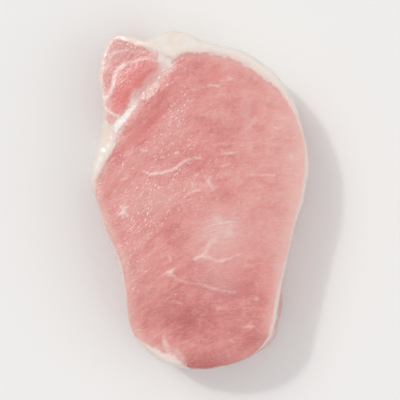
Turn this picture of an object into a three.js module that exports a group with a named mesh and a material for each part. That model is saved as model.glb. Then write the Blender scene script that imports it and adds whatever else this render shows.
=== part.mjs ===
// A raw boneless pork loin chop, thick cut: one solid slice of loin that lies on its lower cut face.
// Millimetres, +Z up. The origin is the middle of the chop's plan box, on the surface it rests on.
// +Y points to the crest of the fat cap, and -X to the trimmed rib side.
import * as THREE from "three";

// Driving dimensions.
const length = 130; // along Y
const width = 84; // along X
const thickness = 30; // at the highest point of the upper cut face

// The outline from above, clockwise from the tip of the cap muscle, in shares of half the width and half
// the length.
const outlineShares = [
  [-0.82, 0.968], // tip of the cap muscle
  [-0.73, 0.985],
  [-0.49, 0.948], // dip between the cap muscle and the fat cap
  [-0.24, 1.0], // crest of the fat cap
  [-0.11, 0.985],
  [0.02, 0.948],
  [0.47, 0.853],
  [0.82, 0.642], // shoulder of the loin eye
  [0.985, 0.37],
  [0.985, 0.1],
  [0.885, -0.17],
  [0.79, -0.49],
  [0.77, -0.72],
  [0.7, -0.85], // heel, where the wall leans outwards
  [0.47, -0.952],
  [0.0, -0.998],
  [-0.36, -0.935],
  [-0.63, -0.78], // lower corner of the rib side
  [-0.69, -0.54],
  [-0.735, -0.38],
  [-0.835, -0.23],
  [-0.945, -0.04],
  [-1.0, 0.12], // bulge of the rib side
  [-0.925, 0.31],
  [-0.875, 0.46], // waist under the cap muscle
  [-0.93, 0.72],
  [-0.89, 0.885],
];

// The seam of fat between the cap muscle and the loin eye, from the fat cap to the waist.
const seamShares = [
  [-0.3, 0.8],
  [-0.43, 0.68],
  [-0.55, 0.6],
  [-0.68, 0.5],
  [-0.79, 0.41],
  [-0.93, 0.25],
];

// Where the outline turns its four corners, in shares of its length from the tip.
const corners = { tip: 0, shoulder: 0.265, heel: 0.575, rib: 0.735 };

// Relief of the upper cut face.
const domeDrop = 2.2; // from the middle to the rim
const seamDepth = 0.6;
const seamSpread = 2.8; // half-width of the groove
const fatRise = 0.7; // firm fat stands proud of the soft lean
const fatReach = 8; // how far in from the rim the fat cap goes

// The wall between the two cut faces.
const upperRound = 2.1; // how far the upper edge curves in
const lowerRound = 4.8; // and the lower edge
const squareness = 2.7; // exponent of the wall's superellipse section
const heelLean = 3.6; // how far the upper edge stands in from the lower one at the heel
const ribUndercut = 2.4; // how far the lower edge tucks under on the rib side
const leanCurve = 1.5; // exponent by which the lean and the undercut gather towards their edge
const wallRipple = 0.5;
const ripples = 7; // round the whole wall
const spineShare = 0.55; // how much of the chop's length the spine of the eye follows

// Stretches of the outline: the middle of each, and how far it reaches, in shares of the outline's length.
const heelStretch = { at: 0.477, reach: 0.045 };
const ribStretch = { at: 0.87, reach: 0.12 };
const fatStretch = { at: 0.13, reach: 0.1 };

// Facets.
const across = 26;
const along = 40;
const upWall = 12;
const seamSteps = 40;
const rimSteps = 240;

const inPlan = ([x, y]) => new THREE.Vector3((x * width) / 2, (y * length) / 2, 0);
const outline = new THREE.CatmullRomCurve3(outlineShares.map(inPlan), true, "centripetal");
const outlinePoints = outline.getSpacedPoints(rimSteps);
const seamPoints = new THREE.CatmullRomCurve3(seamShares.map(inPlan)).getSpacedPoints(seamSteps);

// 1 in the middle of a stretch of the outline, falling to 0 away from it, the short way round.
function within(stretch, share) {
  const apart = Math.abs(share - stretch.at);
  return Math.exp(-((Math.min(apart, 1 - apart) / stretch.reach) ** 2));
}

// The place of the point in a list that lies nearest to a point in plan, and how far away it is.
function nearest(points, x, y) {
  const gaps = points.map((p) => Math.hypot(p.x - x, p.y - y));
  const gap = Math.min(...gaps);
  return { gap, place: gaps.indexOf(gap) };
}

// Height of the upper cut face over a place in plan. It falls towards the rim, dips along the seam and
// rises over the fat cap.
function upperHeight(x, y) {
  const rimwards = (2 * x / width) ** 2 + (2 * y / length) ** 2;
  const seam = nearest(seamPoints, x, y);
  const rim = nearest(outlinePoints, x, y);
  const overFat = within(fatStretch, rim.place / rimSteps) * Math.exp(-((rim.gap / fatReach) ** 2));
  const inSeam = Math.exp(-((seam.gap / seamSpread) ** 2));
  return thickness - domeDrop * rimwards ** 2 - seamDepth * inSeam + fatRise * overFat;
}

// A point on the wall. Lift runs from -1 at the lower cut face to 1 at the upper one, on a superellipse, and
// insets are measured towards a spine along the middle of the eye.
function wallPoint(share, lift) {
  const angle = (lift * Math.PI) / 2;
  const rise = Math.sign(lift) * Math.abs(Math.sin(angle)) ** (2 / squareness);
  const bulge = Math.abs(Math.cos(angle)) ** (2 / squareness);
  const climb = (1 + rise) / 2;
  const inset =
    (lift > 0 ? upperRound : lowerRound) * (1 - bulge) +
    heelLean * within(heelStretch, share) * climb ** leanCurve +
    ribUndercut * within(ribStretch, share) * (1 - climb) ** leanCurve -
    wallRipple * bulge * Math.sin(2 * Math.PI * ripples * share);
  const point = outline.getPointAt(share);
  const outwards = new THREE.Vector3(point.x, point.y * (1 - spineShare), 0).normalize();
  point.addScaledVector(outwards, -inset);
  const middle = thickness / 2;
  const reach = rise > 0 ? upperHeight(point.x, point.y) - middle : middle;
  point.z = middle + rise * reach;
  return point;
}

// The shares of the outline at which the wall has its columns of facets.
function columnShares() {
  const sides = [
    [corners.tip, corners.shoulder, across],
    [corners.shoulder, corners.heel, along],
    [corners.heel, corners.rib, across],
    [corners.rib, 1, along],
  ];
  return sides.flatMap(([from, to, count]) =>
    Array.from({ length: count }, (_, i) => from + ((to - from) * i) / count),
  );
}

// Rows of points of the upper cut face, from the fat side to the heel side. In plan it is a Coons patch: a
// point adds what its row's two ends and its column's two ends say, less what the four corners say. Its
// height is then the height of the face there.
function upperFace(rim) {
  const rimPoint = (i) => rim[i % rim.length];
  const heelCorner = across + along;
  const ribCorner = 2 * across + along;
  const rows = [];
  for (let j = 0; j <= along; j++) {
    const down = j / along;
    const left = rimPoint(rim.length - j);
    const right = rimPoint(across + j);
    const row = [left];
    for (let i = 1; i < across; i++) {
      const over = i / across;
      const fatSide = rimPoint(i);
      const heelSide = rimPoint(ribCorner - i);
      const point = new THREE.Vector3()
        .addScaledVector(fatSide, 1 - down)
        .addScaledVector(heelSide, down)
        .addScaledVector(left, 1 - over)
        .addScaledVector(right, over)
        .addScaledVector(rimPoint(0), (over - 1) * (1 - down))
        .addScaledVector(rimPoint(across), -over * (1 - down))
        .addScaledVector(rimPoint(heelCorner), -over * down)
        .addScaledVector(rimPoint(ribCorner), (over - 1) * down);
      point.z = upperHeight(point.x, point.y);
      row.push(j === 0 ? fatSide : j === along ? heelSide : point);
    }
    rows.push([...row, right]);
  }
  return rows;
}

// The three corners of each flat facet of the lower cut face, turned to face down.
function lowerFace(foot) {
  const flat = THREE.ShapeUtils.triangulateShape(foot.map((p) => new THREE.Vector2(p.x, p.y)), []);
  return flat.flatMap((facet) => {
    const [p, q, r] = facet.map((i) => foot[i]);
    const facesUp = (q.x - p.x) * (r.y - p.y) > (q.y - p.y) * (r.x - p.x);
    return facesUp ? [p, r, q] : [p, q, r];
  });
}

// Brings the solid to its exact width, length and thickness, centred in plan and standing on Z 0.
function fitToBox(geometry) {
  geometry.computeBoundingBox();
  const box = geometry.boundingBox;
  const size = box.getSize(new THREE.Vector3());
  const middle = box.getCenter(new THREE.Vector3());
  geometry.translate(-middle.x, -middle.y, -box.min.z);
  geometry.scale(width / size.x, length / size.y, thickness / size.z);
}

function chopGeometry() {
  const shares = columnShares();
  const rings = Array.from({ length: upWall + 1 }, (_, k) =>
    shares.map((share) => wallPoint(share, (2 * k) / upWall - 1)),
  );
  const facets = lowerFace(rings[0]);
  const addQuad = (p, q, r, s) => facets.push(p, q, r, p, r, s);
  for (let k = 0; k < upWall; k++) {
    shares.forEach((_, i) => {
      const next = (i + 1) % shares.length;
      addQuad(rings[k][next], rings[k][i], rings[k + 1][i], rings[k + 1][next]);
    });
  }
  const rows = upperFace(rings[upWall]);
  for (let j = 0; j < along; j++) {
    for (let i = 0; i < across; i++) {
      addQuad(rows[j + 1][i], rows[j + 1][i + 1], rows[j][i + 1], rows[j][i]);
    }
  }
  const geometry = new THREE.BufferGeometry().setFromPoints(facets);
  fitToBox(geometry);
  geometry.computeVertexNormals();
  return geometry;
}

const rawPork = new THREE.MeshStandardMaterial({ color: 0xe3a09b, roughness: 0.35, metalness: 0 });
const chop = new THREE.Mesh(chopGeometry(), rawPork);
chop.name = "chop";

const part = new THREE.Group();
part.add(chop);
export default part;
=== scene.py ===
import bpy
import numpy as np
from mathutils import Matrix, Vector


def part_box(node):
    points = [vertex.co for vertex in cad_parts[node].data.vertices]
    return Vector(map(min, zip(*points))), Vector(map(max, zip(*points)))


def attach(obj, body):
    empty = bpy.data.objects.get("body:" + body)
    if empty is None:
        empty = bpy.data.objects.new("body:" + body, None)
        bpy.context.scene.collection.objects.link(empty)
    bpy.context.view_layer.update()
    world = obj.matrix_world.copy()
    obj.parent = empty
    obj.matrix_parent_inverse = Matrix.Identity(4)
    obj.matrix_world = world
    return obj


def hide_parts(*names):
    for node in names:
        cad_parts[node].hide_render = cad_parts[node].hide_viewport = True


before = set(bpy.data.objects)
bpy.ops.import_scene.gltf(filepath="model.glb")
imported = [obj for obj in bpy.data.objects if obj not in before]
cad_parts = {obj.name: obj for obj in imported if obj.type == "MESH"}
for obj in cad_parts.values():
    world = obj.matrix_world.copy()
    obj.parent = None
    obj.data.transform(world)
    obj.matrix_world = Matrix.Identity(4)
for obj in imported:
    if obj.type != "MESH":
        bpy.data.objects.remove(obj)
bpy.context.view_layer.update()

mm = 0.001  # a millimetre, in metres
boxLow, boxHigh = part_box("chop")
halfWidth = (boxHigh.x - boxLow.x) / mm / 2
halfLength = (boxHigh.y - boxLow.y) / mm / 2
thickness = (boxHigh.z - boxLow.z) / mm
print("frame loaded, chop", round(2 * halfWidth), "x", round(2 * halfLength), "x", round(thickness), "mm")


# The whole form is worked out in millimetres, in plan about the middle of the chop, and upwards from the
# surface it lies on. Places in plan are written as shares of half the width and half the length.
chopForm = {
    "outline": [  # clockwise from the tip of the cap muscle
        (-0.82, 0.968), (-0.73, 0.985), (-0.49, 0.948), (-0.24, 1.0), (-0.11, 0.985), (0.02, 0.948),
        (0.47, 0.853), (0.82, 0.642), (0.985, 0.37), (0.985, 0.1), (0.885, -0.17), (0.79, -0.49),
        (0.77, -0.72), (0.7, -0.85), (0.47, -0.952), (0.0, -0.998), (-0.36, -0.935), (-0.63, -0.78),
        (-0.69, -0.54), (-0.735, -0.38), (-0.835, -0.23), (-0.945, -0.04), (-1.0, 0.12), (-0.925, 0.31),
        (-0.875, 0.46), (-0.93, 0.72), (-0.89, 0.885),
    ],
    "seam": [(-0.3, 0.8), (-0.43, 0.68), (-0.55, 0.6), (-0.68, 0.5), (-0.79, 0.41), (-0.93, 0.25)],
    "corners": [0, 0.265, 0.575, 0.735, 1],  # along the outline: tip, shoulder, heel, rib corner, tip
    "domeDrop": 2.2,  # of the upper face, from its middle to its rim
    "seamGroove": 0.6,  # how deep the upper face dips along the seam
    "seamSpread": 2.8,  # and how wide to either side
    "fatRise": 0.7,  # how far it rises over the fat cap
    "fatReach": 8,  # and how far in from the rim
    "upperRound": 2.1,  # how far the upper edge curves in
    "lowerRound": 4.8,  # and the lower edge
    "squareness": 2.7,  # of the wall's section
    "heelLean": 3.6,  # how far the upper edge stands in from the lower one at the heel
    "ribUndercut": 2.4,  # how far the lower edge tucks under on the rib side
    "leanCurve": 1.5,  # exponent by which the lean and the undercut gather towards their edge
    "wallRipple": 0.5,
    "ripples": 7,  # round the whole wall
    "spineShare": 0.55,  # how much of the chop's length the spine of the eye follows
    "heelStretch": (0.477, 0.045),  # middle and reach, in shares of the outline's length
    "ribStretch": (0.87, 0.12),
    "fatStretch": (0.13, 0.1),
    "across": 132,  # quads from tip to shoulder and from heel to rib corner
    "along": 196,  # quads from shoulder to heel and from rib corner to tip
    "upWall": 54,
    "outlineSteps": 720,  # of the curves that distances are measured to
    "seamSteps": 120,
    "veinSteps": 60,
}


# Places in millimetres from shares of half the width and half the length.
def inPlan(shares):
    return np.asarray(shares, float) * (halfWidth, halfLength)


# A centripetal Catmull-Rom curve: each span is a cubic between two points, its two end slopes come from
# the points on either side, and a span takes as long as the square root of its length.
def curveThrough(points, closed=False, steps=30):
    points = np.asarray(points, float)
    if closed:
        before, start, end, after = (np.roll(points, shift, axis=0) for shift in (1, 0, -1, -2))
    else:
        longer = np.vstack([2 * points[0] - points[1], points, 2 * points[-1] - points[-2]])
        before, start, end, after = longer[:-3], longer[1:-2], longer[2:-1], longer[3:]
    pairs = ((before, start), (start, end), (end, after))
    first, second, third = (np.sqrt(np.linalg.norm(b - a, axis=1))[:, None] for a, b in pairs)
    straight = (end - start) / second
    leaving = ((start - before) / first - (end - before) / (first + second) + straight) * second
    arriving = (straight - (after - start) / (second + third) + (after - end) / third) * second
    s = np.linspace(0, 1, steps, endpoint=False)[None, :, None]
    start, end, leaving, arriving = (array[:, None] for array in (start, end, leaving, arriving))
    spans = (
        start
        + leaving * s
        + (3 * (end - start) - 2 * leaving - arriving) * s**2
        + (2 * (start - end) + leaving + arriving) * s**3
    )
    return np.vstack([spans.reshape(-1, 2), points[:1] if closed else points[-1:]])


# Points at the given shares of a curve's length.
def evenly(curve, shares):
    lengths = np.concatenate([[0], np.cumsum(np.linalg.norm(np.diff(curve, axis=0), axis=1))])
    at = np.asarray(shares) * lengths[-1]
    return np.stack([np.interp(at, lengths, curve[:, axis]) for axis in (0, 1)], axis=-1)


# Points at so many even steps along the curve through places given as shares.
def pointsAlong(places, steps):
    return evenly(curveThrough(inPlan(places)), np.linspace(0, 1, steps + 1))


# How far each place in plan lies from the nearest of the points, and how far along them that one is, from
# 0 to 1. The square of a distance is the sum of both places' squares less twice their product.
def nearestOn(points, places, block=8000):
    gaps = np.empty(len(places))
    shares = np.empty(len(places))
    for first in range(0, len(places), block):
        part = places[first : first + block]
        squares = (part**2).sum(1)[:, None] + (points**2).sum(1)[None] - 2 * part @ points.T
        nearest = squares.argmin(1)
        gaps[first : first + block] = np.linalg.norm(part - points[nearest], axis=1)
        shares[first : first + block] = nearest / (len(points) - 1)
    return gaps, shares


# 1 in the middle of a stretch of the outline, falling to 0 as a bell curve, the short way round.
def within(stretch, shares):
    apart = np.abs(shares - stretch[0])
    return np.exp(-((np.minimum(apart, 1 - apart) / stretch[1]) ** 2))


# A smooth random field of about -1 to 1: the sum of sine waves in random directions, over the root of
# their number. All are about as long as the size in millimetres, which may differ along the three axes.
def swell(places, size, seed, waves=24):
    random = np.random.default_rng(seed)
    ways = random.normal(size=(waves, 3))
    ways *= 2 * np.pi * random.uniform(0.7, 1.4, (waves, 1)) / np.linalg.norm(ways, axis=1, keepdims=True)
    phases = random.uniform(0, 6.3, waves)
    return np.sin(places @ (ways / np.asarray(size, float)).T + phases).sum(1) / waves**0.5


# The sum of several such fields, each with its height, size and seed.
def swellSum(places, swells):
    return sum(height * swell(places, size, seed) for height, size, seed in swells)


# 0 up to low, 1 from high on, and a cubic ease between them.
def ease(values, low, high):
    share = np.clip((values - low) / (high - low), 0, 1)
    return share * share * (3 - 2 * share)


outlineCurve = curveThrough(inPlan(chopForm["outline"]), closed=True)
outlinePoints = evenly(outlineCurve, np.linspace(0, 1, chopForm["outlineSteps"] + 1))
seamPoints = pointsAlong(chopForm["seam"], chopForm["seamSteps"])


# Height of the upper cut face: the thickness, less a fall with the fourth power of how near the rim is,
# less a bell-shaped groove along the seam, plus a bell-shaped rise over the fat cap.
def upperHeight(places):
    rimwards = (places[:, 0] / halfWidth) ** 2 + (places[:, 1] / halfLength) ** 2
    seamGap, _ = nearestOn(seamPoints, places)
    rimGap, rimShare = nearestOn(outlinePoints, places)
    fat = within(chopForm["fatStretch"], rimShare) * np.exp(-((rimGap / chopForm["fatReach"]) ** 2))
    groove = np.exp(-((seamGap / chopForm["seamSpread"]) ** 2))
    dome = chopForm["domeDrop"] * rimwards**2
    return thickness - dome - chopForm["seamGroove"] * groove + chopForm["fatRise"] * fat


# The wall, a grid of levels by columns. A column is half a superellipse: at an angle from -90 to 90
# degrees its height goes with the sine and its bulge with the cosine, each to the power of 2 over the
# squareness. Insets are measured from the outline towards a spine along the middle of the eye.
def wallGrid():
    form = chopForm
    counts = [form["across"], form["along"], form["across"], form["along"]]
    sides = zip(form["corners"], form["corners"][1:], counts)
    shares = np.concatenate([np.linspace(*side, endpoint=False) for side in sides])
    angle = np.linspace(-np.pi / 2, np.pi / 2, form["upWall"] + 1)[:, None]
    rise = np.sign(angle) * np.abs(np.sin(angle)) ** (2 / form["squareness"])
    bulge = np.abs(np.cos(angle)) ** (2 / form["squareness"])
    climb = (1 + rise) / 2
    rounding = np.where(angle > 0, form["upperRound"], form["lowerRound"])
    inset = (
        rounding * (1 - bulge)
        + form["heelLean"] * within(form["heelStretch"], shares) * climb ** form["leanCurve"]
        + form["ribUndercut"] * within(form["ribStretch"], shares) * (1 - climb) ** form["leanCurve"]
        - form["wallRipple"] * bulge * np.sin(2 * np.pi * form["ripples"] * shares)
    )
    rim = evenly(outlineCurve, shares)
    outwards = rim * (1, 1 - form["spineShare"])
    outwards /= np.linalg.norm(outwards, axis=1, keepdims=True)
    plan = rim - outwards * inset[..., None]
    reach = upperHeight(plan.reshape(-1, 2)).reshape(inset.shape) - thickness / 2
    heights = thickness / 2 + rise * np.where(rise > 0, reach, thickness / 2)
    return np.dstack([plan, heights])


# A cut face as a Coons patch inside its ring: a point adds what its row's two ends and its column's two
# ends say, less what the four corners say. Gives the inner points in plan.
def cutFace(ring):
    across, along = chopForm["across"], chopForm["along"]
    over = np.linspace(0, 1, across + 1)[None, :, None]
    down = np.linspace(0, 1, along + 1)[:, None, None]
    fatSide = ring[: across + 1][None]
    heelSide = ring[across + along : 2 * across + along + 1][::-1][None]
    left = np.roll(ring[::-1], 1, axis=0)[: along + 1][:, None]
    right = ring[across : across + along + 1][:, None]
    patch = fatSide * (1 - down) + heelSide * down + left * (1 - over) + right * over
    patch -= fatSide[:, :1] * (1 - over) * (1 - down) + fatSide[:, -1:] * over * (1 - down)
    patch -= heelSide[:, :1] * (1 - over) * down + heelSide[:, -1:] * over * down
    return patch[1:-1, 1:-1]


# Numbers of a cut face's points, row by row from the fat side: the ring's round the edge, and new ones
# inside.
def faceNumbers(ringStart, innerStart):
    across, along = chopForm["across"], chopForm["along"]
    columns = 2 * (across + along)
    numbers = np.zeros((along + 1, across + 1), int)
    numbers[0] = np.arange(across + 1)
    numbers[-1] = np.arange(2 * across + along, across + along - 1, -1)
    numbers[:, 0] = (columns - np.arange(along + 1)) % columns
    numbers[:, -1] = across + np.arange(along + 1)
    numbers += ringStart
    inner = numbers[1:-1, 1:-1]
    inner[:] = innerStart + np.arange(inner.size).reshape(inner.shape)
    return numbers


# The four corners of every quad of a grid of point numbers.
def quadsOf(numbers):
    corners = [numbers[1:, :-1], numbers[1:, 1:], numbers[:-1, 1:], numbers[:-1, :-1]]
    return np.stack(corners, axis=-1).reshape(-1, 4)


# The smooth base form: points in millimetres, quads, and the side of each point, which is 1 on the upper
# face, 0 on the wall and -1 on the lower face.
def baseForm():
    wall = wallGrid()
    levels, columns = wall.shape[:2]
    upper = cutFace(wall[-1, :, :2]).reshape(-1, 2)
    lower = cutFace(wall[0, :, :2]).reshape(-1, 2)
    points = np.vstack([
        wall.reshape(-1, 3),
        np.column_stack([upper, upperHeight(upper)]),
        np.column_stack([lower, np.zeros(len(lower))]),
    ])
    wallNumbers = np.arange(levels * columns).reshape(levels, columns)
    wallNumbers = np.hstack([wallNumbers, wallNumbers[:, :1]])[::-1]
    upperNumbers = faceNumbers((levels - 1) * columns, levels * columns)
    lowerNumbers = faceNumbers(0, levels * columns + len(upper))
    quads = np.vstack([
        quadsOf(wallNumbers)[:, ::-1],
        quadsOf(upperNumbers),
        quadsOf(lowerNumbers)[:, ::-1],
    ])
    side = np.repeat([0, 1, -1], [levels * columns, len(upper), len(lower)])
    return points, quads, side


# Each point's outward direction: the sum of the cross products of its quads' diagonals, made one unit
# long.
def outwardsAt(points, quads):
    corner = points[quads]
    crosses = np.cross(corner[:, 2] - corner[:, 0], corner[:, 3] - corner[:, 1])
    total = np.zeros_like(points)
    for k in range(4):
        for axis in range(3):
            total[:, axis] += np.bincount(quads[:, k], crosses[:, axis], len(points))
    return total / np.linalg.norm(total, axis=1, keepdims=True)


points, quads, side = baseForm()
print("base form:", len(points), "points,", 2 * len(quads), "triangles")


# Where the fat, the membranes and the marbling lie. Everything runs through the thickness of the chop and
# drifts a little on its way down, as the loin's muscles do. Lengths are in millimetres.
chopPattern = {
    "drift": (3.0, -2.5),  # of the underside against the upper face
    "wander": (1.5, 26),  # how far muscles stray on their way down, and the size of their turns
    "fatUnevenness": [(0.22, (30, 30, 14), 13)],  # share, size and seed
    "fibreRise": 1.1,  # slope of the fibres at the rib side
    "thinFat": (2.4, 4.5),  # the thickness of fat on which silverskin still shows whole, and not at all
    "bulkyFat": (1.5, 3.5),  # the thickness from which fat stands proud, and where it does so fully
    "filmStart": (1.5, 4.2),  # how far down the wall silverskin starts, and how much further by some fat
    "filmFade": 3.0,
    "filmUnevenness": [(1.1, 9, 14)],
    "paleRim": (1.8, 6.5),  # how far in from the outline the lean is pale, and where that has faded
    "paleByFat": (0.3, 3.8),  # the same beside the fat
    "byFat": 0.7,  # and how strong it is there
    "flushAndShadeOverRim": 1.6,  # how much the flush and painted shade take from the pale rim
    "rimShift": 0.012,  # how far the fat of the rim strays along the outline on its way down
    "bareHeel": 1.5,  # how much sooner the wall turns dark at the heel
    "fatAlongRim": [  # share of the outline, thickness of the fat there
        (0, 2.7), (0.024, 2.5), (0.038, 3.1), (0.049, 6.8), (0.058, 10.5), (0.067, 12.5), (0.079, 11.5),
        (0.092, 8.2), (0.1, 6.4), (0.115, 4.6), (0.143, 4.4), (0.171, 4.7), (0.196, 3.9), (0.217, 2.9),
        (0.24, 2.2), (0.265, 1.8), (0.3, 1.6), (0.43, 1.6), (0.48, 1.5), (0.515, 1.3), (0.53, 0.4),
        (0.59, 0), (0.6, 1.6), (0.614, 4), (0.635, 3.2), (0.65, 2.4), (0.665, 1.5), (0.69, 1.5),
        (0.8, 1.6), (0.825, 1.9), (0.838, 2.8), (0.85, 4.2), (0.866, 5.2), (0.883, 6.8), (0.895, 5.4),
        (0.905, 1.8), (0.93, 1.9), (0.965, 2.6), (1, 2.7),
    ],
    "seamFat": [  # the middle of the fat in the seam, from the fat cap
        (-0.3, 0.85), (-0.3, 0.79), (-0.36, 0.735), (-0.46, 0.665), (-0.565, 0.6), (-0.61, 0.53),
        (-0.67, 0.482), (-0.75, 0.432), (-0.815, 0.38), (-0.865, 0.32), (-0.91, 0.24), (-0.93, 0.17),
    ],
    "seamHalfWidths": [4.2, 2.5, 2.0, 2.4, 1.9, 2.7, 3.3, 2.5, 1.4],  # evenly along it
    "seamWhiteness": [0.95, 0.68, 0.52, 0.66, 0.95, 1, 1, 1, 1],
    "veins": [  # half-width, whiteness, then the places a vein of fat passes through
        (1.6, 0.5, [(-0.5, 0.6), (-0.43, 0.63), (-0.37, 0.68)]),  # spread of the seam
        (0.45, 0.8, [(-0.51, 0.177), (-0.45, 0.155), (-0.37, 0.158), (-0.28, 0.172), (-0.2, 0.194),
                     (-0.12, 0.233), (-0.05, 0.246), (0.02, 0.247)]),
        (0.5, 0.6, [(-0.22, 0.272), (-0.17, 0.278)]),
        (0.5, 0.5, [(-0.53, 0.296), (-0.46, 0.29)]),
        (0.45, 0.7, [(-0.71, -0.03), (-0.677, -0.062), (-0.64, -0.09)]),  # a star of three short strokes
        (0.45, 0.7, [(-0.715, -0.085), (-0.677, -0.062), (-0.635, -0.035)]),
        (0.4, 0.6, [(-0.67, -0.03), (-0.677, -0.062), (-0.685, -0.1)]),
        (0.8, 0.9, [(-0.685, -0.064), (-0.668, -0.06)]),
        (0.5, 0.55, [(-0.3, -0.42), (-0.25, -0.413), (-0.215, -0.395)]),
        (0.5, 0.5, [(-0.28, -0.42), (-0.21, -0.443)]),
        (0.4, 0.5, [(-0.27, -0.315), (-0.25, -0.36)]),
        (0.8, 0.6, [(-0.04, -0.348), (0.028, -0.322), (0.098, -0.336)]),
        (0.5, 0.5, [(0.098, -0.336), (0.174, -0.354), (0.265, -0.341), (0.373, -0.318)]),
        (0.8, 0.4, [(0.09, -0.254), (0.075, -0.29), (0.04, -0.32)]),
        (0.4, 0.3, [(-0.29, -0.434), (-0.176, -0.466), (-0.083, -0.483)]),
        (0.5, 0.42, [(-0.083, -0.483), (0.043, -0.493), (0.129, -0.515), (0.212, -0.528), (0.34, -0.54)]),
        (0.8, 0.4, [(0.5, -0.581), (0.54, -0.577)]),
        (0.5, 0.4, [(0.4, -0.742), (0.51, -0.738)]),
        (0.6, 0.35, [(0.28, -0.82), (0.32, -0.825)]),
        (0.5, 0.35, [(-0.26, -0.596), (-0.2, -0.592), (-0.15, -0.605)]),
        (0.5, 0.35, [(0.16, -0.628), (0.22, -0.632)]),
        (0.5, 0.5, [(0.08, 0.675), (0.19, 0.669)]),
        (0.45, 0.6, [(0.21, 0.7), (0.28, 0.712), (0.34, 0.706)]),
        (0.45, 0.55, [(0.21, 0.272), (0.3, 0.278), (0.36, 0.281)]),
        (0.4, 0.5, [(0.2, 0.205), (0.28, 0.21)]),
        (0.6, 0.5, [(0.68, 0.424), (0.73, 0.42)]),
        (0.35, 0.5, [(0.44, 0.15), (0.7, 0.147)]),
        (0.4, 0.5, [(0.04, 0.15), (0.1, 0.1), (0.13, 0.06)]),
        (0.4, 0.6, [(-0.12, 0.03), (-0.05, 0.055), (0.02, 0.06)]),
        (1.1, 0.5, [(-0.316, -0.807), (-0.28, -0.868), (-0.21, -0.914), (-0.12, -0.96)]),  # lower spur
        (2.2, 0.35, [(-0.27, -0.87), (-0.2, -0.91), (-0.14, -0.94)]),
        (0.7, 0.95, [(-0.89, 0.58), (-0.843, 0.594), (-0.807, 0.622), (-0.785, 0.655), (-0.767, 0.692),
                     (-0.756, 0.73), (-0.734, 0.758), (-0.691, 0.781), (-0.64, 0.802)]),  # round the core
        (0.6, 0.6, [(-0.64, 0.802), (-0.568, 0.818), (-0.5, 0.83), (-0.43, 0.825), (-0.35, 0.81)]),
        (0.6, 0.85, [(-0.89, 0.55), (-0.836, 0.529), (-0.785, 0.505), (-0.727, 0.489), (-0.684, 0.477)]),
        (0.45, 0.5, [(-0.83, 0.77), (-0.77, 0.85), (-0.67, 0.875), (-0.58, 0.865)]),
    ],
    "flushAndShade": [  # deeper red where above 0, partly painted shade towards the bottom: place, radii, turn in degrees, amount
        ((-0.41, 0.5), (16, 5), 52, 0.24),
        ((-0.74, 0.26), (4, 4), 0, 0.3),
        ((-0.03, 0.77), (8, 4), 0, 0.14),
        ((0.22, 0.42), (7, 14), 0, 0.11),
        ((0.66, 0.46), (9, 24), 0, -0.12),
        ((0.89, 0.15), (7, 22), 0, -0.17),
        ((-0.45, 0.05), (12, 8), 0, -0.05),
        ((-0.24, -0.23), (8, 12), 0, 0.12),
        # Partly painted shade: this and the next deepen the lower third, where the light falls off towards
        # the bottom.
        ((-0.24, -0.6), (17, 10), 0, 0.26),
        ((-0.05, -0.72), (11, 7), 0, 0.32),
        ((-0.1, 0.28), (10, 8), 0, 0.12),
        # Partly painted shade: these two darken the lower right, where the light falls off.
        ((0.5, -0.6), (11, 13), 0, 0.14),
        ((0.52, -0.84), (8, 6), 0, 0.36),
        # Painted shadow: these two darken the bottom rim as if it lay in shade.
        ((0.15, -0.96), (18, 4.5), 0, 0.47),
        ((-0.02, -0.99), (8, 3), 0, 0.5),
        ((0.25, -0.5), (12, 7), 0, 0.14),
        ((-0.62, 0.68), (10, 3.8), 52, 0.26),  # core of the cap muscle
        ((-0.84, 0.72), (1.6, 5), 10, 0.3),
        # Painted shade: darker where the cap muscle's rim slopes towards the light.
        ((-0.7, 0.9), (10, 5), 0, 0.45),
        ((-0.55, 0.87), (6, 3), -15, -0.1),
    ],
    "coral": [  # brighter red, in the same form
        ((-0.62, 0.68), (10, 3.8), 52, 1.0),
        ((-0.72, 0.57), (4, 3.5), 40, 0.8),
        ((-0.45, 0.44), (12, 4), 52, 0.4),
        ((-0.76, 0.26), (3, 3), 0, 0.6),
        ((-0.84, 0.7), (1.2, 5), 8, 0.3),
        ((-0.05, 0.35), (9, 8), 0, 0.2),
        ((0.18, 0.72), (10, 3), -10, 0.25),
    ],
    "haze": [  # thin pale cover of fat and moisture, in the same form
        ((0.2, -0.14), (7, 5.5), 0, 0.85),
        ((0.3, -0.2), (10, 9), 0, 0.4),
        ((0.1, -0.24), (7, 5), 0, 0.5),
        ((0.21, -0.47), (7, 5), 0, 0.42),
        ((0.43, 0.55), (2.2, 12), 0, 0.4),
        ((0.9, 0.1), (6, 26), 0, 0.45),
        ((0.72, -0.3), (5, 16), 0, 0.45),
        ((-0.45, 0.0), (11, 5), 20, 0.35),
        ((-0.2, 0.46), (4, 10), -20, 0.3),
        ((-0.6, 0.25), (7, 3), 30, 0.2),
        ((-0.5, -0.5), (5, 12), 10, 0.2),
        ((-0.72, 0.86), (9, 5), 20, 0.3),
        ((-0.87, 0.74), (3, 11), 0, 0.5),
        ((0.1, -0.33), (7, 3), 0, 0.4),
    ],
    "wetGlint": [  # where moisture stands in beads, and where their glints and speckle are painted
        ((-0.24, 0.46), (3.5, 14), -25, 1.2),
        ((-0.46, 0.62), (3, 6), -45, 1),
        ((-0.3, 0.05), (13, 8), 15, 1),
        ((-0.55, -0.1), (8, 8), 0, 1),
        ((-0.6, -0.35), (5, 13), 15, 0.8),
        ((-0.84, 0.76), (3.5, 13), 0, 1.2),
        ((-0.65, 0.9), (9, 3), 0, 0.7),
        ((-0.05, 0.25), (14, 16), 0, 0.35),
        ((0.0, 0.1), (30, 50), 0, 0.15),
    ],
}


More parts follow.
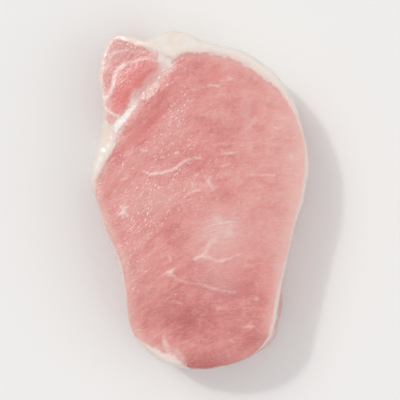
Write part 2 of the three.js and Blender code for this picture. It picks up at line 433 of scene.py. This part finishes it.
# The sum of soft patches: each is its amount times a bell curve of the distance from its place, measured
# in the radii of a turned ellipse.
def patchSum(plan, patches):
    total = np.zeros(len(plan))
    for place, radii, turn, amount in patches:
        apart = plan - inPlan(place)
        cosine, sine = np.cos(np.radians(turn)), np.sin(np.radians(turn))
        along = (apart[:, 0] * cosine + apart[:, 1] * sine) / radii[0]
        over = (apart[:, 1] * cosine - apart[:, 0] * sine) / radii[1]
        total += amount * np.exp(-(along**2) - over**2)
    return total


# How deep each place lies in the nearest vein, and how white that vein is. The depth is the half-width,
# which tapers to half at both ends by the root of a parabola, less the distance from the vein's middle.
def veinField(plan, veins):
    deepest = np.full(len(plan), -4.0)  # mm, further out than any vein reaches
    whiteness = np.zeros(len(plan))
    for halfWide, white, places in veins:
        middle = pointsAlong(places, chopForm["veinSteps"])
        gaps, shares = nearestOn(middle, plan)
        taper = 0.5 + 0.5 * np.sqrt(np.clip(4 * shares * (1 - shares), 0, 1))
        depth = halfWide * taper - gaps
        whiteness = np.where(depth > deepest, white, whiteness)
        deepest = np.maximum(deepest, depth)
    return deepest, whiteness


# Distance down the wall from the upper face's rim, along each column: the running sum of its steps.
def distanceDown(points, side):
    columns = 2 * (chopForm["across"] + chopForm["along"])
    wall = points[side == 0].reshape(-1, columns, 3)
    steps = np.linalg.norm(np.diff(wall, axis=0), axis=2)[::-1]
    down = np.zeros(len(points))
    down[side == 0] = np.vstack([np.zeros(columns), np.cumsum(steps, axis=0)])[::-1].ravel()
    down[side == -1] = thickness
    return down


# Depth in the seam's fat, which is its half-width there less the distance from its middle, and how white
# that fat is.
def seamField(plan):
    gaps, shares = nearestOn(pointsAlong(chopPattern["seamFat"], chopForm["seamSteps"]), plan)
    halfWidths = chopPattern["seamHalfWidths"]
    evenShares = np.linspace(0, 1, len(halfWidths))
    whiteness = np.interp(shares, evenShares, chopPattern["seamWhiteness"])
    return np.interp(shares, evenShares, halfWidths) - gaps, whiteness


# Where the thin silverskin covers the wall, from 0 to 1. It starts lower down where there is some fat, and
# there is none on thick fat.
def filmField(points, side, down, fatThick, atHeel):
    bareStart, underFat = chopPattern["filmStart"]
    start = bareStart + underFat * np.minimum(fatThick, 1) * (1 - atHeel)
    ragged = down + swellSum(points, chopPattern["filmUnevenness"])
    thin = 1 - ease(fatThick, *chopPattern["thinFat"])
    return ease(ragged, start, start + chopPattern["filmFade"]) * thin * (side >= 0)


# Places along the grain: fibres lie level on the right and turn down to the left, by the cube of how far
# left they are.
def grainPlaces(points):
    leftwards = (halfWidth - points[:, 0]) / (2 * halfWidth)
    bowed = points[:, 1] + chopPattern["fibreRise"] * 2 * halfWidth * leftwards**3 / 3
    return np.column_stack([points[:, 0], bowed, points[:, 2]])


# Every field that the relief and the material read, one value or place for each point. Depths and places
# are in millimetres, and a depth is above 0 inside. The flush and shade is an offset of the tone of the
# lean, partly real deeper red and partly painted shade, and the rest goes from 0 to 1.
def patternOf(points, side):
    plan = points[:, :2]
    depth = 1 - points[:, 2] / thickness  # 0 at the upper face, 1 at the lower one
    reach, turns = chopPattern["wander"]
    wander = np.column_stack([swell(points, turns, 11), swell(points, turns, 12)])
    moved = plan + depth[:, None] * (np.array(chopPattern["drift"]) + reach * wander)
    gap, share = nearestOn(outlinePoints, plan)
    knots = np.array(chopPattern["fatAlongRim"])
    along = (share + chopPattern["rimShift"] * depth * wander[:, 0]) % 1
    fatThick = np.interp(along, knots[:, 0], knots[:, 1])
    fatThick *= 1 + depth * swellSum(points, chopPattern["fatUnevenness"])
    atHeel = within(chopForm["heelStretch"], share)
    inside = gap - chopForm["heelLean"] * atHeel * (1 - depth) ** chopForm["leanCurve"]
    fatDepth = fatThick - inside
    seamDepth, seamWhite = seamField(moved)
    veinDepth, veinWhite = veinField(moved, chopPattern["veins"])
    down = distanceDown(points, side)
    flushAndShade = patchSum(moved, chopPattern["flushAndShade"])
    paleRim = 1 - ease(inside, *chopPattern["paleRim"])
    paleByFat = chopPattern["byFat"] * (1 - ease(-fatDepth, *chopPattern["paleByFat"]))
    # The pale rim gives way where the flush and painted shade deepen the lean.
    outsideFlushAndShade = 1 - np.clip(chopPattern["flushAndShadeOverRim"] * flushAndShade, 0, 1)
    return {
        "fatDepth": fatDepth,
        "fatBulk": ease(fatThick, *chopPattern["bulkyFat"]),
        "edge": np.maximum(paleRim, paleByFat) * outsideFlushAndShade,
        "seamDepth": seamDepth,
        "seamWhite": seamWhite,
        "veinDepth": veinDepth,
        "veinWhite": veinWhite,
        "film": filmField(points, side, down, fatThick, atHeel),
        "down": down * (1 + chopPattern["bareHeel"] * atHeel),
        "flushAndShade": flushAndShade,
        "coral": np.clip(patchSum(moved, chopPattern["coral"]), 0, 1),
        "haze": np.clip(patchSum(moved, chopPattern["haze"]), 0, 1),
        # Where moisture stands, and where its glints and speckle are painted.
        "wetGlint": np.clip(patchSum(plan, chopPattern["wetGlint"]), 0, 1) * (side == 1),
        "grain": grainPlaces(points),
    }


pattern = patternOf(points, side)
print("pattern laid out")


# How far the surface stands out from the base form, in mm. A swell has its height, size and seed.
chopRelief = {
    "fatStep": 0.45,
    "veinStep": 0.08,
    "seamStep": 0.03,
    "raggedFat": [(0.5, 5, 21), (0.25, 2.2, 22)],  # how the fat's edge strays
    "fatSwells": [(0.08, 9, 23), (0.02, 3, 24)],  # lumps and beads
    "leanSwells": [
        (0.17, (22, 14, 30), 25),  # broad waves
        (0.07, (8, 6, 20), 30),  # dimples
        (0.045, (5, 2.6, 16), 26),  # bundles
        (0.025, (9, 1.6, 20), 27),  # ridges along the fibres
    ],
    "wallSwells": [(0.25, (16, 16, 24), 28), (0.035, (3.2, 3.2, 22), 29)],  # waves, and ridges downwards
    "seamSwells": [(0.03, 3.4, 31)],
    "wallStart": (1.0, 8.0),  # how far down the wall its own swells begin, and where they are full
    "floorFade": (0.5, 5.0),  # heights above the floor between which all relief comes in
}


# Fat stands proud with a soft step and lumps, lean has broad waves and fine bundles, and the wall has
# waves and ridges that run down it. The lower face keeps to the surface it lies on.
def reliefOf(points, side, pattern):
    relief = chopRelief
    ragged = pattern["fatDepth"] + swellSum(points, relief["raggedFat"])
    fat = ease(ragged, -0.3, 0.7) * pattern["fatBulk"]
    seam = ease(pattern["seamDepth"], -1, 1.5)
    vein = ease(pattern["veinDepth"], -0.6, 0.4)
    wall = ease(distanceDown(points, side), *relief["wallStart"]) * (side == 0)
    height = fat * (relief["fatStep"] + swellSum(points, relief["fatSwells"]))
    height += (1 - fat) * (relief["veinStep"] * vein + swellSum(pattern["grain"], relief["leanSwells"]))
    height += seam * (relief["seamStep"] + swellSum(points, relief["seamSwells"]))
    height += wall * swellSum(points, relief["wallSwells"])
    return np.where(side == -1, 0, height * ease(points[:, 2], *relief["floorFade"]))


# Stretches the points to fill the box of the solid exactly, and turns millimetres into metres.
def fillBox(points):
    low, high = points.min(0), points.max(0)
    return np.array(boxLow) + (points - low) / (high - low) * np.array(boxHigh - boxLow)


# The mesh of the chop, with each field of the pattern as an attribute of its points.
def makeChop(points, quads, pattern):
    mesh = bpy.data.meshes.new("porkChop")
    mesh.vertices.add(len(points))
    mesh.vertices.foreach_set("co", points.astype(np.float32).ravel())
    mesh.loops.add(quads.size)
    mesh.loops.foreach_set("vertex_index", quads.ravel())
    mesh.polygons.add(len(quads))
    mesh.polygons.foreach_set("loop_start", np.arange(0, quads.size, 4))
    mesh.polygons.foreach_set("use_smooth", np.ones(len(quads), bool))
    mesh.update(calc_edges=True)
    mesh.validate()
    for name, values in pattern.items():
        vector = values.ndim == 2
        attribute = mesh.attributes.new(name, "FLOAT_VECTOR" if vector else "FLOAT", "POINT")
        attribute.data.foreach_set("vector" if vector else "value", values.astype(np.float32).ravel())
    piece = bpy.data.objects.new("porkChop", mesh)
    bpy.context.scene.collection.objects.link(piece)
    return piece


normals = outwardsAt(points, quads)
relief = reliefOf(points, side, pattern)
chopPiece = makeChop(fillBox(points + normals * relief[:, None]), quads, pattern)
print("chop meshed")


# A colour given as display values from 0 to 255.
def tint(red, green, blue):
    shares = np.array([red, green, blue]) / 255
    linear = np.where(shares <= 0.04045, shares / 12.92, ((shares + 0.055) / 1.055) ** 2.4)
    return (*linear, 1.0)


# Adds a node. Its inputs are sockets to link or values to set.
def addNode(tree, kind, inputs=None, **settings):
    made = tree.nodes.new("ShaderNode" + kind)
    for name, value in settings.items():
        setattr(made, name, value)
    for socket, value in (inputs or {}).items():
        if isinstance(value, bpy.types.NodeSocket):
            tree.links.new(value, made.inputs[socket])
        else:
            made.inputs[socket].default_value = value
    return made


def readAttribute(tree, name, output="Fac"):
    return addNode(tree, "Attribute", attribute_name=name, attribute_type="GEOMETRY").outputs[output]


def calc(tree, operation, first, second=0.0, third=0.0):
    return addNode(tree, "Math", {0: first, 1: second, 2: third}, operation=operation).outputs[0]


def multiply(tree, first, second):
    return calc(tree, "MULTIPLY", first, second)


# Value times factor, plus offset.
def scaled(tree, value, factor, offset=0.0):
    return calc(tree, "MULTIPLY_ADD", value, factor, offset)


# A smooth step from 0 at low to 1 at high, or falling where low is above high.
def step(tree, value, low, high, start=0.0, end=1.0):
    if low > high:
        low, high, start, end = high, low, end, start
    inputs = {"Value": value, "From Min": low, "From Max": high, "To Min": start, "To Max": end}
    return addNode(tree, "MapRange", inputs, interpolation_type="SMOOTHSTEP").outputs[0]


# The first colour where the share is 0, the second where it is 1.
def blend(tree, share, first, second):
    return addNode(tree, "Mix", {0: share, 6: first, 7: second}, data_type="RGBA").outputs[2]


def blendValue(tree, share, first, second):
    return addNode(tree, "Mix", {0: share, 2: first, 3: second}, data_type="FLOAT").outputs[0]


def calcPlace(tree, operation, first, second, third=(0, 0, 0)):
    return addNode(tree, "VectorMath", {0: first, 1: second, 2: third}, operation=operation).outputs[0]


# Places in millimetres, shrunk so that one unit is the given size, and moved by a seed.
def sized(tree, place, size, seed):
    size = size if isinstance(size, tuple) else (size, size, size)
    shrunk = calcPlace(tree, "DIVIDE", place, size)
    return calcPlace(tree, "ADD", shrunk, (seed, 1.7 * seed, 2.3 * seed))


def noise(tree, place, size, seed, detail=2.0, roughness=0.5, output="Fac"):
    moved = sized(tree, place, size, seed)
    inputs = {"Vector": moved, "Scale": 1.0, "Detail": detail, "Roughness": roughness}
    return addNode(tree, "TexNoise", inputs, noise_dimensions="3D").outputs[output]


def cells(tree, place, size, seed, feature="F1", output="Distance"):
    inputs = {"Vector": sized(tree, place, size, seed), "Scale": 1.0}
    return addNode(tree, "TexVoronoi", inputs, feature=feature).outputs[output]


# A colour for each value from 0 to 1, by straight lines between the stops.
def ramp(tree, value, stops):
    made = addNode(tree, "ValToRGB", {0: value})
    band = made.color_ramp
    band.elements[0].position, band.elements[0].color = stops[0]
    band.elements[1].position, band.elements[1].color = stops[-1]
    for position, colour in stops[1:-1]:
        band.elements.new(position).color = colour
    return made.outputs[0]


meatLook = {
    "lean": [  # from pale to deep
        (0.0, tint(230, 180, 170)),
        (0.3, tint(225, 158, 150)),
        (0.5, tint(221, 142, 135)),
        (0.72, tint(206, 121, 116)),
        (1.0, tint(190, 102, 98)),
    ],
    "coral": tint(222, 108, 105),
    "fat": tint(235, 226, 216),
    "fatWarm": tint(232, 215, 200),
    "fatPink": tint(232, 205, 197),
    "seam": tint(221, 184, 177),
    "vein": tint(243, 219, 211),
    "haze": tint(229, 192, 183),
    "edge": tint(232, 194, 183),
    "film": tint(208, 150, 145),
    "filmDeep": tint(194, 128, 124),
    "filmPale": tint(226, 188, 181),
    "filmTop": tint(235, 208, 199),
    # painted highlight: the pale colour of the glint on each standing drop
    "beadAndGlint": tint(252, 226, 218),
    "tone": {  # how much each pattern sways the tone of the lean
        "bundle": 0.08,
        "fibre": 0.1,
        "streak": 0.11,
        "mottle": 0.6,
        "cloud": 0.54,
        "speckle": 0.14,
    },
    "marbling": {  # how white each kind of fine marbling is
        "outline": 0.12,
        "thread": 0.17,
        "fleck": 0.26,
        "dash": 0.13,
    },
    "ragged": {  # mm by which each kind of edge strays, coarsely and finely
        "fat": (2.2, 0.8),
        "seam": (4.0, 3.6),
        "vein": (0.9, 0.9),
    },
    "size": {  # of each pattern in mm: level, along the plan's Y, and down through the chop
        "swirl": 8.0,
        "bundle": (3.0, 1.5, 16.0),
        "fibre": (1.4, 0.8, 9.0),
        "streak": (5.0, 0.9, 24.0),
        "mottle": (11.0, 7.0, 22.0),
        "cloud": (4.5, 3.2, 12.0),
        "speckle": (0.9, 0.6, 6.0),
        "thread": (15.0, 6.0, 34.0),
        "fleck": (1.5, 0.9, 6.0),
        "dash": (3.6, 0.75, 18.0),
        "coarse": 2.4,
        "fine": 0.8,
        "veinBreak": (2.2, 1.2, 4.0),
        "lobe": (2.2, 1.8, 5.0),
        "fatMottle": 6.0,
        "filmBend": 12.0,
        "fold": (1.7, 1.7, 14.0),
        "filmBundle": (5.0, 5.0, 22.0),
        "cover": (9.0, 9.0, 7.0),
        "beadAndGlint": (1.5, 0.95, 3.0),
        "beadRow": (6.0, 1.8, 6.0),
        "gloss": 3.0,
    },
    "wetGlintSpeckle": 0.8,  # how much more speckled wet lean is, the specks partly painted glints
    # how much of each drop takes the painted glint colour
    "paintedGlintShare": 0.85,
    "beadHeight": 0.25,  # of the bump height
    "swirl": 3.0,  # mm by which the grain strays
    "filmBend": 4.0,  # mm by which the folds of the silverskin stray
    "roughness": (0.32, 0.5),
    "coat": (0.45, 0.1),  # weight and roughness
    "subsurface": 0.22,
    "subsurfaceRadius": (1.0, 0.6, 0.45),
    "subsurfaceScale": 1.6,  # mm
    "bumpHeight": 0.35,  # mm
}


# Fine marbling between the larger veins, from 0 to 1: bundle outlines that come and go, thin threads where
# a noise crosses its middle value, round flecks, and dashes along the grain.
def fineMarbling(tree, place, moved, bundleEdge, look):
    size, white = look["size"], look["marbling"]
    outlineArea = step(tree, noise(tree, place, 4.5, 4.4), 0.46, 0.66)
    outline = scaled(tree, outlineArea, white["outline"], 0.02)
    outline = multiply(tree, step(tree, bundleEdge, 0.13, 0.02), outline)
    threadField = scaled(tree, noise(tree, moved, size["thread"], 6.6), 1.0, -0.5)
    threadArea = step(tree, noise(tree, place, 7.0, 8.8), 0.5, 0.62)
    thread = step(tree, calc(tree, "ABSOLUTE", threadField), 0.02, 0.003)
    thread = multiply(tree, thread, scaled(tree, threadArea, white["thread"]))
    fleckArea = step(tree, noise(tree, place, 6.0, 14.2), 0.5, 0.66)
    fleck = step(tree, cells(tree, place, size["fleck"], 12.5), 0.3, 0.12)
    fleck = multiply(tree, fleck, scaled(tree, fleckArea, white["fleck"]))
    dash = step(tree, noise(tree, moved, size["dash"], 16.3, 1.0), 0.6, 0.72)
    dash = scaled(tree, dash, white["dash"])
    return calc(tree, "MAXIMUM", calc(tree, "MAXIMUM", outline, thread), calc(tree, "MAXIMUM", fleck, dash))


# Lean meat cut across its fibres: tone that drifts from bundle to bundle and along the grain, and is more
# speckled where it is wet, the specks partly painted glints, with the coral red, the fine marbling, the
# haze and the pale rim over it.
def leanLook(tree, place, look):
    size = look["size"]
    swirl = noise(tree, place, size["swirl"], 3.1, output="Color")
    centred = calcPlace(tree, "SUBTRACT", swirl, (0.5, 0.5, 0.5))
    moved = calcPlace(tree, "MULTIPLY_ADD", centred, (look["swirl"],) * 3, place)
    bundleEdge = cells(tree, moved, size["bundle"], 1.3, "DISTANCE_TO_EDGE")
    patterns = {
        "bundle": cells(tree, moved, size["bundle"], 1.3, output="Color"),
        "fibre": cells(tree, moved, size["fibre"], 5.2),
        "streak": noise(tree, moved, size["streak"], 2.4, 3.0, 0.6),
        "mottle": noise(tree, place, size["mottle"], 7.7, 3.0, 0.55),
        "cloud": noise(tree, place, size["cloud"], 7.9),
        "speckle": noise(tree, place, size["speckle"], 9.1, 2.0, 0.6),
    }
    # The flush deepens the tone; towards the bottom and over the cap muscle's rim it is partly painted
    # shade.
    tone = scaled(tree, readAttribute(tree, "flushAndShade"), 1.0, 0.45)
    for name, strength in look["tone"].items():
        tone = calc(tree, "ADD", tone, scaled(tree, patterns[name], strength, -strength / 2))
    # Partly painted glints: the speckle is stronger where the lean is wet.
    glintDots = multiply(tree, scaled(tree, patterns["speckle"], 1.0, -0.5), readAttribute(tree, "wetGlint"))
    tone = calc(tree, "MULTIPLY_ADD", glintDots, look["wetGlintSpeckle"], tone)
    cloud, streak = patterns["cloud"], patterns["streak"]
    coral = readAttribute(tree, "coral")
    colour = ramp(tree, tone, look["lean"])
    colour = blend(tree, multiply(tree, coral, scaled(tree, cloud, 0.8, 0.4)), colour, look["coral"])
    colour = blend(tree, fineMarbling(tree, place, moved, bundleEdge, look), colour, look["vein"])
    hazeGrain = calc(tree, "ADD", scaled(tree, streak, 0.5), scaled(tree, cloud, 0.5))
    hazeGrain = scaled(tree, step(tree, hazeGrain, 0.32, 0.66), 0.85, 0.15)
    colour = blend(tree, multiply(tree, readAttribute(tree, "haze"), hazeGrain), colour, look["haze"])
    edgeGrain = scaled(tree, cloud, 0.7, 0.15)
    colour = blend(tree, multiply(tree, readAttribute(tree, "edge"), edgeGrain), colour, look["edge"])
    height = calc(tree, "ADD", scaled(tree, bundleEdge, 0.3), scaled(tree, streak, 0.2))
    height = calc(tree, "ADD", height, scaled(tree, patterns["fibre"], -0.15))
    return colour, multiply(tree, height, scaled(tree, coral, -0.6, 1.0))


# Fat: creamy, with soft lobes, a warmer mottle and a pink tinge where it meets the lean.
def fatLook(tree, place, depth, look):
    lobes = cells(tree, place, look["size"]["lobe"], 21.0, "SMOOTH_F1")
    mottle = noise(tree, place, look["size"]["fatMottle"], 22.5, 3.0)
    colour = blend(tree, step(tree, mottle, 0.4, 0.68), look["fat"], look["fatWarm"])
    nearLean = step(tree, calc(tree, "ADD", depth, scaled(tree, mottle, 3.0, -1.5)), 3.0, 0.0)
    colour = blend(tree, scaled(tree, nearLean, 0.75), colour, look["fatPink"])
    return colour, scaled(tree, lobes, -0.1, 0.1)


# Silverskin down the wall: pale under the cut edge, and lower down the lean seen dimly through it, in
# bundles that run down the wall and under patches of thicker cover.
def filmLook(tree, place, look):
    size = look["size"]
    bend = noise(tree, place, size["filmBend"], 30.0, output="Color")
    bent = calcPlace(tree, "MULTIPLY_ADD", bend, (look["filmBend"],) * 3, place)
    folds = noise(tree, bent, size["fold"], 31.0, 3.0, 0.55)
    bundles = noise(tree, bent, size["filmBundle"], 33.0)
    cover = noise(tree, place, size["cover"], 32.0, 4.0, 0.6)
    tone = calc(tree, "ADD", scaled(tree, folds, 0.45), scaled(tree, bundles, 0.55))
    colour = blend(tree, step(tree, tone, 0.3, 0.68), look["filmDeep"], look["film"])
    colour = blend(tree, scaled(tree, step(tree, cover, 0.44, 0.68), 0.8), colour, look["filmPale"])
    low = calc(tree, "ADD", readAttribute(tree, "down"), scaled(tree, cover, -9.0, 4.5))
    colour = blend(tree, scaled(tree, step(tree, low, 9.0, 3.0), 0.8), colour, look["filmTop"])
    return colour, scaled(tree, folds, 0.8)


# A depth field of the mesh, made ragged by a coarse and a fine noise.
def raggedDepth(tree, name, noises, amounts, share=1.0):
    stray = calc(tree, "MULTIPLY_ADD", noises[1], amounts[1], scaled(tree, noises[0], amounts[0]))
    return calc(tree, "MULTIPLY_ADD", stray, share, readAttribute(tree, name))


# How far each place is inside the fat of the rim, the seam, the seam's white core and the veins, from 0 to
# 1. Each is a smooth step over a ragged depth, and the veins are broken as well.
def fatShares(tree, place, fine, look):
    ragged = look["ragged"]
    noises = scaled(tree, noise(tree, place, look["size"]["coarse"], 41.0), 1.0, -0.5), fine
    bulk = scaled(tree, readAttribute(tree, "fatBulk"), 0.65, 0.35)
    fat = step(tree, raggedDepth(tree, "fatDepth", noises, ragged["fat"], bulk), -0.45, 0.6)
    seamDepth = raggedDepth(tree, "seamDepth", noises, ragged["seam"])
    seamWhite = readAttribute(tree, "seamWhite")
    seam = multiply(tree, step(tree, seamDepth, -1.4, 1.6), seamWhite)
    seamCore = multiply(tree, step(tree, seamDepth, 0.3, 1.8), step(tree, seamWhite, 0.6, 1.0))
    vein = step(tree, raggedDepth(tree, "veinDepth", noises, ragged["vein"]), -0.55, 0.55)
    vein = multiply(tree, vein, readAttribute(tree, "veinWhite"))
    veinBreaks = step(tree, noise(tree, place, look["size"]["veinBreak"], 44.0), 0.3, 0.6)
    vein = multiply(tree, vein, scaled(tree, veinBreaks, 0.65, 0.35))
    return fat, seam, seamCore, vein


# Standing drops of moisture, from 0 to 1: cells in slanting rows, where the lean is wet. The same cells
# carry a painted highlight, a pale glint on each drop.
def beadAndGlintField(tree, place, size):
    turning = {"Vector": place, "Angle": -1.0}
    turned = addNode(tree, "VectorRotate", turning, rotation_type="Z_AXIS").outputs[0]
    beadAndGlint = step(tree, cells(tree, turned, size["beadAndGlint"], 51.0), 0.42, 0.1)
    inRow = step(tree, noise(tree, turned, size["beadRow"], 53.0), 0.46, 0.56)
    return multiply(tree, beadAndGlint, multiply(tree, inRow, readAttribute(tree, "wetGlint")))


# The one material of the chop: lean, under veins, seam, fat, silverskin and drops of moisture, each drop
# with a painted glint, in that order, with a wet coat over all of it.
def makeMeat(look):
    material = bpy.data.materials.new("rawPork")
    material.use_nodes = True
    tree = material.node_tree
    tree.nodes.clear()
    place = readAttribute(tree, "grain", "Vector")
    fine = scaled(tree, noise(tree, place, look["size"]["fine"], 42.0), 1.0, -0.5)
    fat, seam, seamCore, vein = fatShares(tree, place, fine, look)
    film = readAttribute(tree, "film")
    beadAndGlint = beadAndGlintField(tree, place, look["size"])

    leanColour, leanHeight = leanLook(tree, place, look)
    fatColour, fatHeight = fatLook(tree, place, readAttribute(tree, "fatDepth"), look)
    filmColour, filmHeight = filmLook(tree, place, look)
    colour = blend(tree, vein, leanColour, look["vein"])
    colour = blend(tree, seam, colour, look["seam"])
    colour = blend(tree, seamCore, colour, look["fat"])
    colour = blend(tree, fat, colour, fatColour)
    colour = blend(tree, film, colour, filmColour)
    # Painted highlight: a pale glint colour on each standing drop.
    colour = blend(tree, scaled(tree, beadAndGlint, look["paintedGlintShare"]), colour, look["beadAndGlint"])

    height = blendValue(tree, fat, leanHeight, fatHeight)
    height = blendValue(tree, film, height, filmHeight)
    height = calc(tree, "MULTIPLY_ADD", beadAndGlint, look["beadHeight"], height)
    height = calc(tree, "MULTIPLY_ADD", fine, scaled(tree, fat, -0.4, 0.5), height)
    bump = addNode(tree, "Bump", {"Height": height, "Distance": look["bumpHeight"] * mm, "Strength": 1.0})

    gloss = noise(tree, place, look["size"]["gloss"], 52.0, 3.0)
    coatWeight, coatRoughness = look["coat"]
    shader = addNode(tree, "BsdfPrincipled", {
        "Base Color": colour,
        "Roughness": step(tree, gloss, 0.3, 0.7, *look["roughness"]),
        "Normal": bump.outputs[0],
        "Subsurface Weight": look["subsurface"],
        "Subsurface Radius": look["subsurfaceRadius"],
        "Subsurface Scale": look["subsurfaceScale"] * mm,
        "Coat Weight": coatWeight,
        "Coat Roughness": coatRoughness,
        "Coat Normal": bump.outputs[0],
    })
    addNode(tree, "OutputMaterial", {0: shader.outputs[0]})
    return material


chopPiece.data.materials.append(makeMeat(meatLook))
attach(chopPiece, "root")
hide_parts("chop")
print("chop finished")


studio = {
    "floorSize": 40.0,  # metres
    "floorColour": tint(238, 236, 233),
    "floorRoughness": 0.6,
    "worldColour": tint(236, 237, 240),
    "worldStrength": 0.62,
    "backdropColour": tint(233, 232, 231),  # as pale as the lit floor, so that no horizon shows
    "suns": {  # way towards each light, how wide it looks in degrees, strength
        "key": ((-0.42, 0.4, 0.62), 22, 0.5),
        "spark": ((-0.38, 0.3, 0.6), 4, 0.5),
        "soft": ((0.1, 0.1, 1.0), 100, 0.52),
        "fill": ((0.8, -0.3, 0.5), 60, 0.5),
    },
    "lens": 135,  # mm
    "frameShare": 0.84,  # of the picture's height, that the chop takes
}


# One large square, level with the surface that the chop lies on.
def makeFloor(studio):
    half = studio["floorSize"] / 2
    corners = [(-half, -half, 0), (half, -half, 0), (half, half, 0), (-half, half, 0)]
    mesh = bpy.data.meshes.new("floor")
    mesh.from_pydata(corners, [], [(0, 1, 2, 3)])
    floor = bpy.data.objects.new("floor", mesh)
    bpy.context.scene.collection.objects.link(floor)
    material = bpy.data.materials.new("paleFloor")
    material.use_nodes = True
    shader = material.node_tree.nodes["Principled BSDF"]
    shader.inputs["Base Color"].default_value = studio["floorColour"]
    shader.inputs["Roughness"].default_value = studio["floorRoughness"]
    mesh.materials.append(material)


# A far light on the given way from the chop, as wide as the given angle.
def makeSun(name, way, width, strength):
    light = bpy.data.lights.new(name, "SUN")
    light.angle = np.radians(width)
    light.energy = strength
    lamp = bpy.data.objects.new(name, light)
    lamp.rotation_euler = Vector(way).to_track_quat("Z", "Y").to_euler()
    bpy.context.scene.collection.objects.link(lamp)


# The world lights the chop softly, and where it shows as the backdrop it has the backdrop's own colour.
def makeWorld(studio):
    world = bpy.data.worlds.new("studio")
    world.use_nodes = True
    tree = world.node_tree
    tree.nodes.clear()
    light = addNode(tree, "Background", {0: studio["worldColour"], 1: studio["worldStrength"]})
    backdrop = addNode(tree, "Background", {0: studio["backdropColour"], 1: 1.0})
    seen = addNode(tree, "LightPath").outputs["Is Camera Ray"]
    mixed = addNode(tree, "MixShader", {0: seen, 1: light.outputs[0], 2: backdrop.outputs[0]})
    addNode(tree, "OutputWorld", {0: mixed.outputs[0]})
    bpy.context.scene.world = world


def makeStudio(studio):
    makeFloor(studio)
    for name, (way, width, strength) in studio["suns"].items():
        makeSun(name + "Light", way, width, strength)
    makeWorld(studio)
    bpy.context.scene.view_settings.view_transform = "Standard"


# Straight above the chop, at the distance where its length takes the wanted share of the picture.
def makeCamera(studio):
    camera = bpy.data.cameras.new("camera")
    camera.lens = studio["lens"]
    length = boxHigh.y - boxLow.y
    distance = length / studio["frameShare"] * camera.lens / camera.sensor_width
    eye = bpy.data.objects.new("camera", camera)
    middleHeight = (boxLow.z + boxHigh.z) / 2
    eye.location = ((boxLow.x + boxHigh.x) / 2, (boxLow.y + boxHigh.y) / 2, middleHeight + distance)
    bpy.context.scene.collection.objects.link(eye)
    bpy.context.scene.camera = eye


makeStudio(studio)
makeCamera(studio)
print("studio ready")
